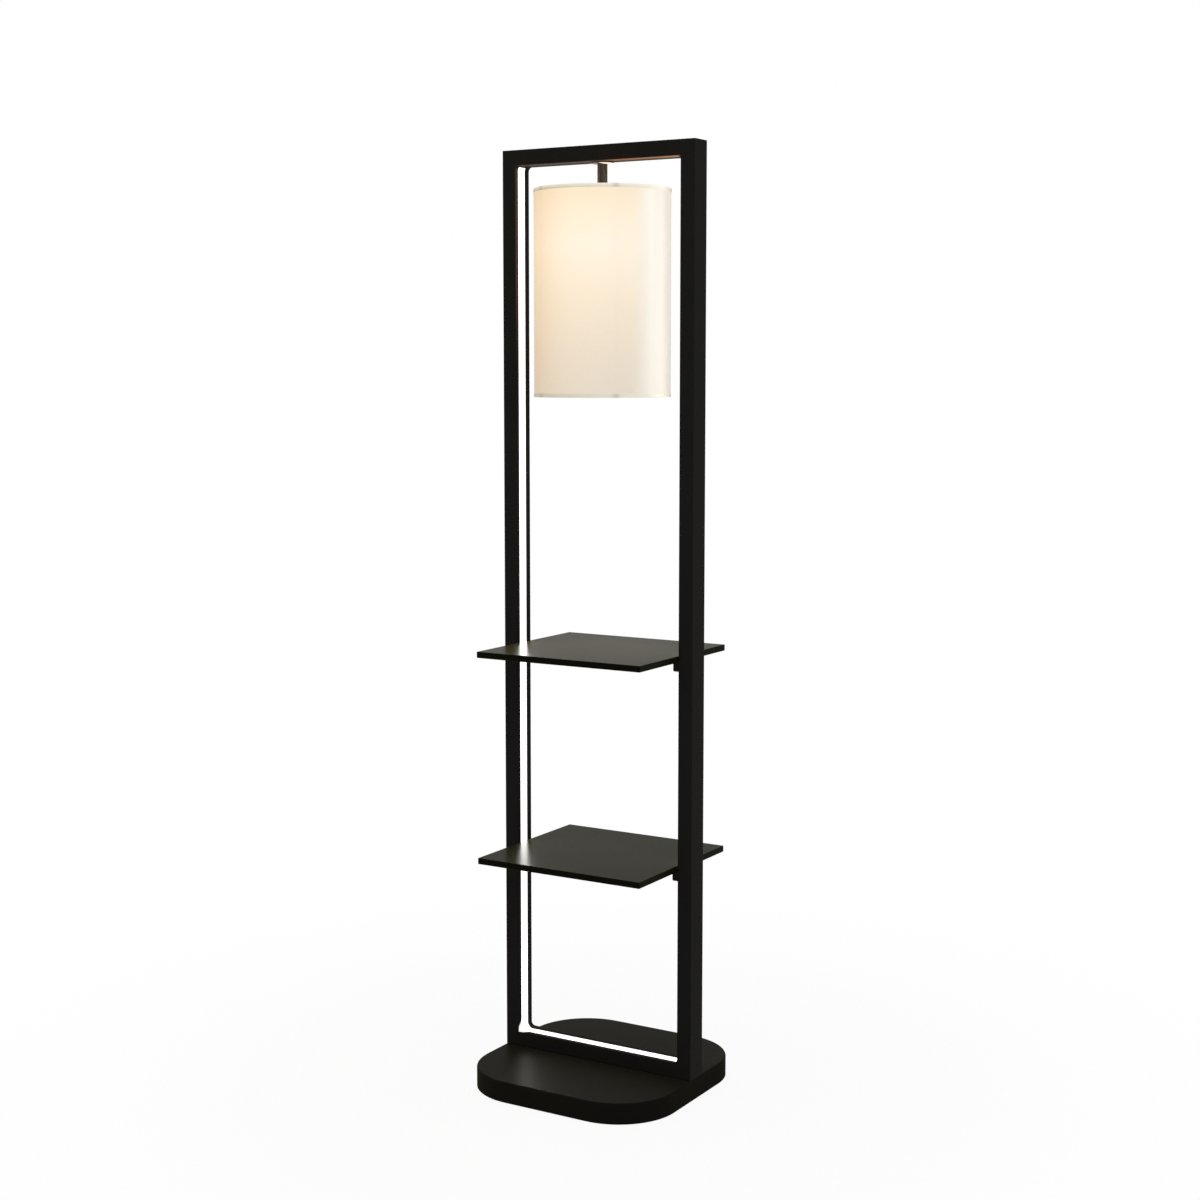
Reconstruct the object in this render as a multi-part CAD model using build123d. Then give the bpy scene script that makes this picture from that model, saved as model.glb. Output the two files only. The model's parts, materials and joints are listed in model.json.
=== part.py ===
# Shelf floor lamp: a lit frame on a weighted base, with a hanging drum shade and two shelves.
# Millimetres, +Z up. +X runs along the frame to the right, and -Y faces the viewer.
# The origin is on the floor, under the middle of the base.
from build123d import *
import os

# Frame
lamp_height = 1500.0            # floor to the top face of the frame
frame_width = 348.0             # over the outer faces of the uprights
frame_depth = 40.0              # front to back
frame_face = 24.5               # each member's width, seen from the front
frame_wall = 1.5                # sheet that the members are folded from
frame_bend_radius = 1.2         # outside of the folds along each member
opening_corner_radius = 7.0     # inner corners of the frame
lip_width = 8.0                 # sheet beside the light slot, front and back
lip_fold = 4.5                  # how deep the lips' edges are folded in, beside the slot

# Lights in the frame
diffuser_recess = 3.2           # lips' faces to the diffuser's face
diffuser_flange = 1.5           # thickness of the diffuser's edges, behind the lips' folds
diffuser_clearance = 0.15       # diffuser to the edges of the slot
carrier_clearance = 0.3         # carrier and diffuser flange to the channel's side walls
carrier_wall = 1.5
carrier_height = 5.5            # diffuser to the back of the carrier
strip_width = 10.0
strip_thickness = 0.4
chip_size = 3.0
chip_height = 0.8
chip_pitch = 33.0

# Base
base_margin = 1.0               # frame's outer faces to the sides of the base
base_depth = 350.0              # front to back
base_height = 33.0              # skirt's lower edge to the top face
base_corner_radius = 100.0
base_wall = 1.5
base_bend_radius = 1.0          # inside the bend from the top face to the skirt
weight_thickness = 8.0
weight_gap = 2.0                # ballast plate to the skirt
cover_thickness = 1.5
cover_recess = 3.0              # skirt's lower edge to the cover's underside
cover_gap = 0.4                 # cover to the skirt
foot_stand = 2.0                # feet below the skirt's lower edge
foot_radius = 11.0
foot_edge_radius = 0.8
foot_inset = 65.0               # foot centre to the sides of the base
post_radius = 4.0
post_inset = 95.0               # cover post centre to the sides of the base

# Cord inlet in the back of the skirt
inlet_bore_radius = 3.6
inlet_neck_radius = 6.0
inlet_flange_radius = 8.0
inlet_flange_thickness = 2.0
inlet_catch = 1.0               # how far the catch behind the skirt stands out from the neck
inlet_catch_length = 3.0
inlet_tail = 7.0                # neck behind the catch
inlet_clearance = 0.1

# Driver, terminal block and their screws, under the ballast plate
driver_length = 80.0
driver_width = 34.0
driver_height = 17.0
driver_edge_radius = 2.0
ear_length = 9.0
ear_thickness = 2.0
terminal_length = 36.0
terminal_width = 20.0
terminal_height = 15.0
terminal_groove_width = 2.0
terminal_groove_depth = 5.0
small_screw_radius = 1.5
small_screw_depth = 5.0         # thread in the ballast plate

# Frame bolts, cover screws and shelf screws
bolt_radius = 2.5
bolt_inset = 34.0               # bolt to the frame's outer face
bolt_row = 22.0                 # between the front and back rows
nut_flats = 8.0
nut_height = 4.0
bolt_head_height = 3.5
bolt_end = 1.0                  # thread past the nut
cover_screw_radius = 2.0
cover_screw_depth = 8.0         # thread in the post
shelf_screw_radius = 1.75
shelf_screw_head_radius = 3.5
shelf_screw_head_height = 2.0
shelf_screw_bite = 6.0          # thread in the shelf
shelf_screw_row = 24.0          # between the two screws of a cleat
hole_clearance = 0.2            # on the radius of every screw hole
head_ratio = 1.8                # round-head screws: head radius over thread radius
head_height_ratio = 1.1         # round-head screws: head height over thread radius

# Leads
lamp_lead_radius = 2.5
strip_lead_radius = 1.6
lead_inset = 30.0               # lead grommets to the middle of the base
lead_run = 22.0                 # grommet to the driver or the terminal block behind it
lead_offset = 16.5              # lead's line to the frame's opening
lead_small_bend = 5.0
lead_corner_bend = 12.0
lead_top_bend = 9.0
grommet_wall = 2.0
grommet_flange = 2.0            # grommet flange past its neck
grommet_flange_thickness = 1.5
grommet_clearance = 0.2

# Shelves and cleats
upper_shelf_top = 711.0         # above the floor
lower_shelf_top = 379.0
shelf_depth = 276.0
shelf_thickness = 10.0
shelf_end_gap = 1.0             # shelf to each upright
shelf_edge_radius = 0.8
cleat_width = 9.0
cleat_height = 14.0
cleat_corner_radius = 2.0

# Hanger
flange_radius = 18.0
flange_thickness = 3.0
flange_edge_radius = 1.0
hanger_drop = 38.5              # flange to the lampholder
tube_radius = 8.0
tube_wall = 1.5
nipple_radius = 5.0
nipple_bore_radius = 3.6
nipple_hold = 9.0               # nipple inside the lampholder's cap
nipple_end = 1.0                # nipple past the lock nut
lock_nut_flats = 14.0
lock_nut_height = 4.0
lock_washer_radius = 9.0
lock_washer_thickness = 1.5
hanger_clearance = 0.2

# Lampholder
holder_cap_height = 22.0
holder_cap_radius = 21.0
holder_cap_wall = 2.5
holder_neck_height = 9.0
holder_body_height = 38.0
holder_body_radius = 19.0
holder_overlap = 8.0            # body inside the cap
holder_bore_radius = 14.3
holder_flange_radius = 23.0
holder_flange_thickness = 3.0
holder_clearance = 0.2
insert_radius = 16.5
insert_thickness = 8.5
shell_wall = 0.5                # brass screw shell
shell_end_gap = 2.0             # screw shell to the lampholder's mouth
shade_ring_radius = 27.0
shade_ring_height = 9.0
ring_grooves = 24               # finger grips round the shade ring
ring_groove_radius = 1.4
ring_edge_radius = 0.8
contact_radius = 4.0
contact_height = 2.5

# Shade
shade_radius = 107.5
shade_height = 322.0
shade_rise = 24.0               # fitter's centre ring to the shade's top edge
shade_skin = 1.0
shade_wire_radius = 1.75
shade_wire_gap = 0.1            # wire ring to the skin
binding_height = 5.5
binding_skin = 0.4
fitter_thickness = 1.5
fitter_rim = 6.0                # centre ring past the shade ring
fitter_arms = 3
arm_foot = 14.0                 # level run of an arm, short of the top ring
arm_bend = 8.0
strut_count = 5                 # upright wires between the shade's two rings
strut_turn = 96.0               # degrees from +X to the strut behind the seam

# Bulb
bulb_globe_radius = 22.5
bulb_globe_rise = 10.5          # globe's centre to where the housing meets it
bulb_cap_radius = 13.1
bulb_cap_length = 22.0
bulb_cap_wall = 0.5
bulb_tip_radius = 4.5
bulb_tip_height = 1.5
bulb_insulator_height = 3.5
bulb_neck_length = 18.0         # housing, from the cap to the globe
bulb_shell = 1.5
bulb_contact_gap = 0.3          # tip to the lampholder's contact

# Heights and widths worked out from those
base_width = frame_width + 2 * base_margin
skirt_bottom = foot_stand
base_top = skirt_bottom + base_height
weight_top = base_top - base_wall
weight_bottom = weight_top - weight_thickness
cover_bottom = skirt_bottom + cover_recess
cover_top = cover_bottom + cover_thickness
frame_height = lamp_height - base_top
frame_middle = base_top + frame_height / 2
opening_width = frame_width - 2 * frame_face
opening_height = frame_height - 2 * frame_face
opening_bottom = base_top + frame_face
opening_top = lamp_height - frame_face
channel_width = frame_depth - 2 * frame_wall
slot_width = frame_depth - 2 * lip_width
rail_floor = base_top + frame_wall
rail_ceiling = opening_top + frame_wall
flange_bottom = opening_top - flange_thickness
holder_top = flange_bottom - hanger_drop
holder_rim = holder_top - holder_cap_height
body_top = holder_rim + holder_overlap
body_bottom = body_top - holder_body_height
insert_bottom = body_top - insert_thickness
fitter_top = holder_rim - holder_flange_thickness
fitter_bottom = fitter_top - fitter_thickness
shade_top = fitter_top + shade_rise
shade_bottom = shade_top - shade_height
bulb_top = insert_bottom - contact_height - bulb_contact_gap
diffuser_back = lip_fold + diffuser_flange
carrier_back = diffuser_back + carrier_height
strip_back = carrier_back - carrier_wall
strip_front = strip_back - strip_thickness
flange_width = channel_width - 2 * carrier_clearance
bolt_x = frame_width / 2 - bolt_inset
bolt_points = [(x, y) for x in (-bolt_x, bolt_x) for y in (-bolt_row / 2, bolt_row / 2)]
grommet_points = [(-lead_inset, strip_lead_radius), (lead_inset, lamp_lead_radius)]


def rod(radius, bottom, top):
    """A round bar around Z, between two heights."""
    return Pos(0, 0, bottom) * extrude(Circle(radius), top - bottom)


def collar(outer_radius, inner_radius, bottom, top):
    """A round piece with a hole through it, between two heights."""
    return Pos(0, 0, bottom) * extrude(Circle(outer_radius) - Circle(inner_radius), top - bottom)


def hexagon_nut(flats, bore_radius, bottom, top):
    """A hexagon nut around Z, between two heights."""
    section = RegularPolygon(flats / 2, 6, major_radius=False) - Circle(bore_radius)
    return Pos(0, 0, bottom) * extrude(section, top - bottom)


def turned(section):
    """A turned piece around Z, from the closed lines and arcs of its half section (radius, height)."""
    return revolve(make_face((Plane.XZ * section).edges()), Axis.Z)


def slab(width, depth, radius, bottom, top):
    """A flat piece with rounded corners, between two heights."""
    return Pos(0, 0, bottom) * extrude(RectangleRounded(width, depth, radius), top - bottom)


def four_corners(x, y):
    """The four places that lie x and y from the middle."""
    return [(sx * x, sy * y) for sx in (-1, 1) for sy in (-1, 1)]


def at_each(points, piece):
    """Copies of a piece at each (x, y) place."""
    return [Pos(x, y, 0) * piece for x, y in points]


# Frame: one mitred ring of folded channel, cut into its four members


def frame_outline(inset):
    """The frame's outer rectangle, drawn in from its edge by inset."""
    return Pos(0, 0, frame_middle) * (
        Plane.XZ * Rectangle(frame_width - 2 * inset, frame_height - 2 * inset)
    )


def opening_outline(growth):
    """The frame's opening with its rounded corners, grown outwards by growth."""
    outline = RectangleRounded(
        opening_width + 2 * growth, opening_height + 2 * growth, opening_corner_radius + growth
    )
    return Pos(0, 0, frame_middle) * (Plane.XZ * outline)


def band(inner_growth, outer_growth, depth):
    """A ring round the opening between two distances from its edge, centred front to back."""
    section = opening_outline(outer_growth) - opening_outline(inner_growth)
    return extrude(section, depth / 2, both=True)


def mitre_wedge(points):
    """The part of the frame's rectangle that one mitred member lies in."""
    outline = Plane.XZ * Polyline(*points, close=True)
    return extrude(make_face(outline.edges()), frame_depth, both=True)


half_frame = frame_width / 2
low_mitre = (0, base_top + half_frame)
high_mitre = (0, lamp_height - half_frame)
top_corners = [(-half_frame, lamp_height), (half_frame, lamp_height)]
bottom_corners = [(-half_frame, base_top), (half_frame, base_top)]
left_wedge = mitre_wedge([bottom_corners[0], top_corners[0], high_mitre, low_mitre])
right_wedge = mitre_wedge([bottom_corners[1], top_corners[1], high_mitre, low_mitre])
top_wedge = mitre_wedge([*top_corners, high_mitre])
bottom_wedge = mitre_wedge([*bottom_corners, low_mitre])

frame_skin = extrude(frame_outline(0) - opening_outline(0), frame_depth / 2, both=True)
skin_faces = frame_skin.faces().sort_by(Axis.Y)
frame_skin = fillet(skin_faces[0].edges() + skin_faces[-1].edges(), frame_bend_radius)
frame_hollow = extrude(
    frame_outline(frame_wall) - opening_outline(frame_wall), channel_width / 2, both=True
)
channel_ring = frame_skin - frame_hollow
folded_edges = band(frame_wall, lip_fold, slot_width + 2 * frame_wall)
lit_ring = channel_ring + folded_edges - band(0, lip_fold, slot_width)
diffuser_ring = band(diffuser_recess, diffuser_back, slot_width - 2 * diffuser_clearance) + band(
    lip_fold, diffuser_back, flange_width
)

bolt_hole = rod(bolt_radius + hole_clearance, weight_bottom, base_top + frame_face / 2)
grommet_holes = [
    Pos(x, 0, 0) * rod(lead_radius + grommet_wall + grommet_clearance, weight_bottom, rail_floor)
    for x, lead_radius in grommet_points
]
base_holes = at_each(bolt_points, bolt_hole) + grommet_holes

left_upright = lit_ring & left_wedge
right_upright = lit_ring & right_wedge
bottom_rail = (lit_ring & bottom_wedge) - base_holes
nipple_hole = rod(nipple_radius + hanger_clearance, flange_bottom, rail_ceiling)
top_rail = (channel_ring & top_wedge) - nipple_hole

left_diffuser = diffuser_ring & left_wedge
right_diffuser = diffuser_ring & right_wedge
bottom_diffuser = diffuser_ring & bottom_wedge


# Light carriers and the flexible strip that lies in them


def carrier(length):
    """A straight channel along Z, with its open side at X = 0 facing +X."""
    outside = Pos(-carrier_height / 2, 0, 0) * Box(carrier_height, flange_width, length)
    inside_height = carrier_height - carrier_wall
    inside = Pos(-inside_height / 2, 0, 0) * Box(
        inside_height, flange_width - 2 * carrier_wall, length
    )
    return outside - inside


upright_run = opening_height - 2 * opening_corner_radius
rail_run = opening_width - 2 * opening_corner_radius
left_carrier = Pos(-opening_width / 2 - diffuser_back, 0, frame_middle) * carrier(upright_run)
right_carrier = mirror(left_carrier, Plane.YZ)
strip_lead_hole = Pos(-lead_inset, 0, 0) * rod(
    strip_lead_radius + hole_clearance, rail_floor, opening_bottom - strip_back
)
bottom_carrier = (
    Pos(0, 0, opening_bottom - diffuser_back) * (Rot(0, -90, 0) * carrier(rail_run))
    - strip_lead_hole
)


def chip_row(run):
    """Places of the light chips along one straight run, about its middle."""
    count = int(run // chip_pitch)
    return [(i - (count - 1) / 2) * chip_pitch for i in range(count)]


def light_chips():
    """The light chips on the strip's inner side, up both uprights and along the bottom rail."""
    side = opening_width / 2 + strip_front - chip_height / 2
    low = opening_bottom - strip_front + chip_height / 2
    upright_chip = Box(chip_height, chip_size, chip_size)
    rail_chip = Box(chip_size, chip_size, chip_height)
    chips = []
    for x in (-side, side):
        chips += [Pos(x, 0, frame_middle + z) * upright_chip for z in chip_row(upright_run)]
    return chips + [Pos(x, 0, low) * rail_chip for x in chip_row(rail_run)]


strip_end = frame_middle + upright_run / 2
strip_trim = Pos(0, 0, strip_end) * extrude(
    Rectangle(frame_width, frame_depth), lamp_height - strip_end
)
led_strip = (band(strip_front, strip_back, strip_width) - strip_trim) + light_chips()


# Base: drawn shell, ballast plate, bottom cover, feet and what is fixed inside


def base_shell_piece():
    """The drawn cover of the base, open below."""
    bend = base_bend_radius + base_wall
    outside = slab(base_width, base_depth, base_corner_radius, skirt_bottom, base_top)
    outside = fillet(outside.faces().sort_by(Axis.Z)[-1].edges(), bend)
    inside = slab(
        base_width - 2 * base_wall,
        base_depth - 2 * base_wall,
        base_corner_radius - base_wall,
        skirt_bottom,
        weight_top,
    )
    inside = fillet(inside.faces().sort_by(Axis.Z)[-1].edges(), base_bend_radius)
    return outside - inside


inlet_height = (weight_bottom + cover_top) / 2


def along_back(radius, front, back):
    """A round bar along Y at the cord inlet, between two distances from the middle of the base."""
    return Pos(0, front, inlet_height) * (Rot(-90, 0, 0) * rod(radius, 0, back - front))


skirt_back = base_depth / 2
skirt_inside = skirt_back - base_wall
catch_front = skirt_inside - inlet_catch_length
inlet_front = catch_front - inlet_tail
inlet_back = skirt_back + inlet_flange_thickness
cord_inlet = (
    along_back(inlet_neck_radius, inlet_front, inlet_back)
    + along_back(inlet_neck_radius + inlet_catch, catch_front, skirt_inside)
    + along_back(inlet_flange_radius, skirt_back, inlet_back)
    - along_back(inlet_bore_radius, inlet_front, inlet_back)
)
inlet_hole = along_back(inlet_neck_radius + inlet_clearance, skirt_inside, skirt_back)
base_shell = base_shell_piece() - base_holes - inlet_hole

foot_points = four_corners(base_width / 2 - foot_inset, base_depth / 2 - foot_inset)
post_points = four_corners(base_width / 2 - post_inset, base_depth / 2 - post_inset)
foot = rod(foot_radius, 0, cover_bottom)
foot = fillet(foot.faces().sort_by(Axis.Z)[0].edges(), foot_edge_radius)
rubber_feet = at_each(foot_points, foot)
cover_screw_tip = cover_top + cover_screw_depth
post_hole = rod(cover_screw_radius + hole_clearance, cover_top, cover_screw_tip)
cover_posts = at_each(post_points, rod(post_radius, cover_top, weight_bottom) - post_hole)


def round_head_screw(radius, seat, tip):
    """A round-head screw along Z, with its head below the seat."""
    head = rod(radius * head_ratio, seat - radius * head_height_ratio, seat)
    return rod(radius, seat, tip) + head


cover_screws = at_each(
    post_points, round_head_screw(cover_screw_radius, cover_bottom, cover_screw_tip)
)
cover_hole = rod(cover_screw_radius + hole_clearance, cover_bottom, cover_top)
base_cover = slab(
    base_width - 2 * (base_wall + cover_gap),
    base_depth - 2 * (base_wall + cover_gap),
    base_corner_radius - base_wall - cover_gap,
    cover_bottom,
    cover_top,
) - at_each(post_points, cover_hole)

driver_front = lead_run - ear_length
driver_y = driver_front + driver_length / 2
terminal_y = lead_run + terminal_length / 2
ear_y = (driver_length - ear_length) / 2
driver_screw_points = [(-lead_inset, driver_y - ear_y), (-lead_inset, driver_y + ear_y)]
terminal_screw_point = (lead_inset, terminal_y)
ear_bottom = weight_bottom - ear_thickness
small_hole = rod(small_screw_radius + hole_clearance, weight_bottom - terminal_height, weight_bottom)


def driver_piece():
    """The LED driver: a case with rounded edges, on a foot plate with an ear at each end."""
    case = Box(driver_width, driver_length - 2 * ear_length, driver_height)
    case = fillet(case.edges(), driver_edge_radius)
    plate = Box(driver_width, driver_length, ear_thickness)
    return (
        Pos(-lead_inset, driver_y, weight_bottom - driver_height / 2) * case
        + Pos(-lead_inset, driver_y, weight_bottom - ear_thickness / 2) * plate
    )


def terminal_piece():
    """A two-way terminal block, grooved along each way."""
    groove = Pos(0, 0, (terminal_groove_depth - terminal_height) / 2) * Box(
        terminal_groove_width, terminal_length, terminal_groove_depth
    )
    block = Box(terminal_width, terminal_length, terminal_height) - at_each(
        [(-terminal_width / 4, 0), (terminal_width / 4, 0)], groove
    )
    return Pos(lead_inset, terminal_y, weight_bottom - terminal_height / 2) * block


led_driver = driver_piece() - at_each(driver_screw_points, small_hole)
terminal_block = terminal_piece() - at_each([terminal_screw_point], small_hole)
small_tip = weight_bottom + small_screw_depth
driver_screw = round_head_screw(small_screw_radius, ear_bottom, small_tip)
terminal_screw = round_head_screw(small_screw_radius, weight_bottom - terminal_height, small_tip)
ballast_screws = at_each(driver_screw_points, driver_screw)
ballast_screws += at_each([terminal_screw_point], terminal_screw)
thread_hole = rod(small_screw_radius + hole_clearance, weight_bottom, small_tip)
ballast_plate = (
    slab(
        base_width - 2 * (base_wall + weight_gap),
        base_depth - 2 * (base_wall + weight_gap),
        base_corner_radius - base_wall - weight_gap,
        weight_bottom,
        weight_top,
    )
    - base_holes
    - at_each([*driver_screw_points, terminal_screw_point], thread_hole)
)

nut_top = rail_floor + nut_height
frame_nut = hexagon_nut(nut_flats, bolt_radius + hole_clearance, rail_floor, nut_top)
frame_nuts = at_each(bolt_points, frame_nut)
bolt_head = Pos(0, 0, weight_bottom - bolt_head_height) * extrude(
    RegularPolygon(nut_flats / 2, 6, major_radius=False), bolt_head_height
)
frame_bolts = at_each(bolt_points, rod(bolt_radius, weight_bottom, nut_top + bolt_end) + bolt_head)


# Leads: one to the lampholder through the right upright, one to the strip


def lead_grommet(x, lead_radius):
    """A rubber sleeve where a lead goes up through the base into the bottom rail."""
    bore = lead_radius + grommet_clearance
    neck = lead_radius + grommet_wall
    sleeve = collar(neck, bore, weight_bottom, rail_floor)
    lip = collar(neck + grommet_flange, bore, weight_bottom - grommet_flange_thickness, weight_bottom)
    return Pos(x, 0, 0) * (sleeve + lip)


def lead(points, bends, radius):
    """A round lead along straight runs joined by arcs."""
    path = FilletPolyline(*points, radius=bends)
    return sweep(Plane(origin=path @ 0, z_dir=path % 0) * Circle(radius), path=path)


lead_grommets = [lead_grommet(x, lead_radius) for x, lead_radius in grommet_points]
terminal_level = weight_bottom - terminal_height / 2
driver_level = weight_bottom - driver_height / 2
rail_level = opening_bottom - lead_offset
upright_line = opening_width / 2 + lead_offset
lamp_lead_points = [
    (lead_inset, lead_run, terminal_level),
    (lead_inset, 0, terminal_level),
    (lead_inset, 0, rail_level),
    (upright_line, 0, rail_level),
    (upright_line, 0, opening_top + lead_offset),
    (0, 0, opening_top + lead_offset),
    (0, 0, body_top),
]
lamp_lead_bends = [lead_small_bend, lead_small_bend, lead_corner_bend, lead_corner_bend, lead_top_bend]
lamp_lead = lead(lamp_lead_points, lamp_lead_bends, lamp_lead_radius)
strip_lead_points = [
    (-lead_inset, lead_run, driver_level),
    (-lead_inset, 0, driver_level),
    (-lead_inset, 0, opening_bottom - strip_back),
]
strip_lead = lead(strip_lead_points, [lead_small_bend], strip_lead_radius)


# Shelves, their cleats and screws


def countersunk_screw(growth):
    """A shelf screw up from a cleat's underside at Z = 0, fatter by growth all round."""
    tip = cleat_height + shelf_screw_bite
    head = shelf_screw_head_radius + growth
    shank = shelf_screw_radius + growth
    neck = shelf_screw_head_height
    return turned(Polyline((0, 0), (head, 0), (shank, neck), (shank, tip), (0, tip), close=True))


def cleat(top):
    """The cleat on the right upright's inner face that carries a shelf end, with its screw holes."""
    block = Pos((opening_width - cleat_width) / 2, 0, top - cleat_height / 2) * Box(
        cleat_width, frame_depth, cleat_height
    )
    low_inner_edge = block.edges().filter_by(Axis.Y).sort_by(Axis.Z)[:2].sort_by(Axis.X)[0]
    return fillet(low_inner_edge, cleat_corner_radius)


screw_x = (opening_width - cleat_width) / 2
screw_points = four_corners(screw_x, shelf_screw_row / 2)
shelf_underside = {
    "upper": upper_shelf_top - shelf_thickness,
    "lower": lower_shelf_top - shelf_thickness,
}
shelf_blank = fillet(
    Box(opening_width - 2 * shelf_end_gap, shelf_depth, shelf_thickness).edges(), shelf_edge_radius
)
shelves = {}
cleats = {}
shelf_screws = []
for level, underside in shelf_underside.items():
    screw_seat = underside - cleat_height
    holes = at_each(screw_points, Pos(0, 0, screw_seat) * countersunk_screw(hole_clearance))
    shelves[f"{level}_shelf"] = Pos(0, 0, underside + shelf_thickness / 2) * shelf_blank - holes
    cleats[f"{level}_right_cleat"] = cleat(underside) - holes
    cleats[f"{level}_left_cleat"] = mirror(cleat(underside), Plane.YZ) - holes
    shelf_screws += at_each(screw_points, Pos(0, 0, screw_seat) * countersunk_screw(0))


# Hanger: flange, tube and nipple, held by a lock nut inside the top rail
nipple_bore = nipple_radius + hanger_clearance
hanger_flange = collar(flange_radius, nipple_bore, flange_bottom, opening_top)
flange_rims = hanger_flange.edges().filter_by(GeomType.CIRCLE).group_by(SortBy.RADIUS)[-1]
flange_rim = flange_rims.sort_by(Axis.Z)[0]
hanger_flange = fillet(flange_rim, flange_edge_radius)
hanger_tube = collar(tube_radius, tube_radius - tube_wall, holder_top, flange_bottom)
washer_top = rail_ceiling + lock_washer_thickness
lock_nut_top = washer_top + lock_nut_height
hanger_washer = collar(lock_washer_radius, nipple_bore, rail_ceiling, washer_top)
hanger_nut = hexagon_nut(lock_nut_flats, nipple_bore, washer_top, lock_nut_top)
nipple_bottom = holder_top - nipple_hold
hanger_nipple = collar(nipple_radius, nipple_bore_radius, nipple_bottom, lock_nut_top + nipple_end)


# Lampholder


def holder_cap_piece():
    """The domed cap that screws onto the nipple and closes over the body."""
    shoulder = holder_top - holder_neck_height
    inner_radius = holder_cap_radius - holder_cap_wall
    dome_start = (tube_radius + holder_cap_wall, shoulder + holder_cap_wall)
    dome_end = (holder_cap_radius, holder_rim + holder_overlap / 2)
    outline = (
        Line((nipple_bore, holder_top), (tube_radius, holder_top))
        + Line((tube_radius, holder_top), dome_start)
        + RadiusArc(dome_start, dome_end, -holder_cap_radius)
        + Line(dome_end, (holder_cap_radius, holder_rim))
        + Line((holder_cap_radius, holder_rim), (inner_radius, holder_rim))
        + Line((inner_radius, holder_rim), (inner_radius, body_top))
        + Line((inner_radius, body_top), (nipple_bore, shoulder))
        + Line((nipple_bore, shoulder), (nipple_bore, holder_top))
    )
    return turned(outline)


cap_inside = holder_cap_radius - holder_cap_wall
body_neck = cap_inside - holder_clearance
insert_bore = insert_radius + holder_clearance
holder_body = turned(
    Polyline(
        (holder_bore_radius, body_bottom),
        (holder_body_radius, body_bottom),
        (holder_body_radius, fitter_top),
        (holder_flange_radius, fitter_top),
        (holder_flange_radius, holder_rim),
        (body_neck, holder_rim),
        (body_neck, body_top),
        (insert_bore, body_top),
        (insert_bore, insert_bottom),
        (holder_bore_radius, insert_bottom),
        close=True,
    )
)
holder_cap = holder_cap_piece()
holder_insert = rod(insert_radius, insert_bottom, body_top)
shell_radius = holder_bore_radius - holder_clearance
screw_shell = collar(shell_radius, shell_radius - shell_wall, body_bottom + shell_end_gap, insert_bottom)
centre_contact = rod(contact_radius, insert_bottom - contact_height, insert_bottom)
shade_ring_bore = holder_body_radius + holder_clearance
shade_ring_bottom = fitter_bottom - shade_ring_height


def shade_ring_piece():
    """The ring that clamps the shade's fitter to the lampholder, with finger grips round it."""
    ring = collar(shade_ring_radius, shade_ring_bore, shade_ring_bottom, fitter_bottom)
    rims = ring.edges().filter_by(GeomType.CIRCLE).group_by(SortBy.RADIUS)[-1]
    ring = fillet(rims.sort_by(Axis.Z)[0], ring_edge_radius)
    groove = rod(ring_groove_radius, shade_ring_bottom, fitter_bottom)
    places = PolarLocations(shade_ring_radius + ring_groove_radius / 2, ring_grooves)
    return ring - [place * groove for place in places]


shade_ring = shade_ring_piece()


# Shade: a fabric drum on a wire fitter, bound at both edges


wire_line = shade_radius - shade_skin - shade_wire_gap - shade_wire_radius
top_ring_level = shade_top - shade_wire_radius
bottom_ring_level = shade_bottom + shade_wire_radius


def wire_ring(height):
    """A wire ring just inside the shade's skin."""
    return Pos(0, 0, height) * Torus(wire_line, shade_wire_radius)


def shade_strut_wires():
    """The upright wires of the shade's frame, cut to sit on its two rings."""
    strut = Pos(wire_line, 0, 0) * rod(shade_wire_radius, bottom_ring_level, top_ring_level)
    strut = strut - wire_ring(bottom_ring_level) - wire_ring(top_ring_level)
    return [Rot(0, 0, strut_turn + i * 360 / strut_count) * strut for i in range(strut_count)]


def binding(edge, inward):
    """A fabric band round one edge of the drum: outside it and over the edge, inward along Z."""
    outside = shade_radius + binding_skin
    inside = shade_radius - shade_skin
    outline = Polyline(
        (inside, edge),
        (inside, edge - inward * binding_skin),
        (outside, edge - inward * binding_skin),
        (outside, edge + inward * binding_height),
        (shade_radius, edge + inward * binding_height),
        (shade_radius, edge),
        close=True,
    )
    return turned(outline)


def shade_fitter_piece():
    """The top ring, the arms that rise to it and the centre ring, welded into one."""
    arm_level = fitter_top - fitter_thickness / 2
    start = shade_ring_radius + fitter_rim / 2
    path = Plane.XZ * FilletPolyline(
        (start, arm_level), (wire_line - arm_foot, arm_level), (wire_line, top_ring_level), radius=arm_bend
    )
    arm = sweep(Plane(origin=path @ 0, z_dir=path % 0) * Circle(shade_wire_radius), path=path)
    centre_ring = collar(shade_ring_radius + fitter_rim, shade_ring_bore, fitter_bottom, fitter_top)
    arms = [Rot(0, 0, (i + 0.5) * 360 / fitter_arms) * arm for i in range(fitter_arms)]
    return wire_ring(top_ring_level) + centre_ring + arms


shade_drum = collar(shade_radius, shade_radius - shade_skin, shade_bottom, shade_top)
shade_fitter = shade_fitter_piece()
shade_bottom_ring = wire_ring(bottom_ring_level)
shade_struts = shade_strut_wires()
shade_top_binding = binding(shade_top, -1)
shade_bottom_binding = binding(shade_bottom, 1)


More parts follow.
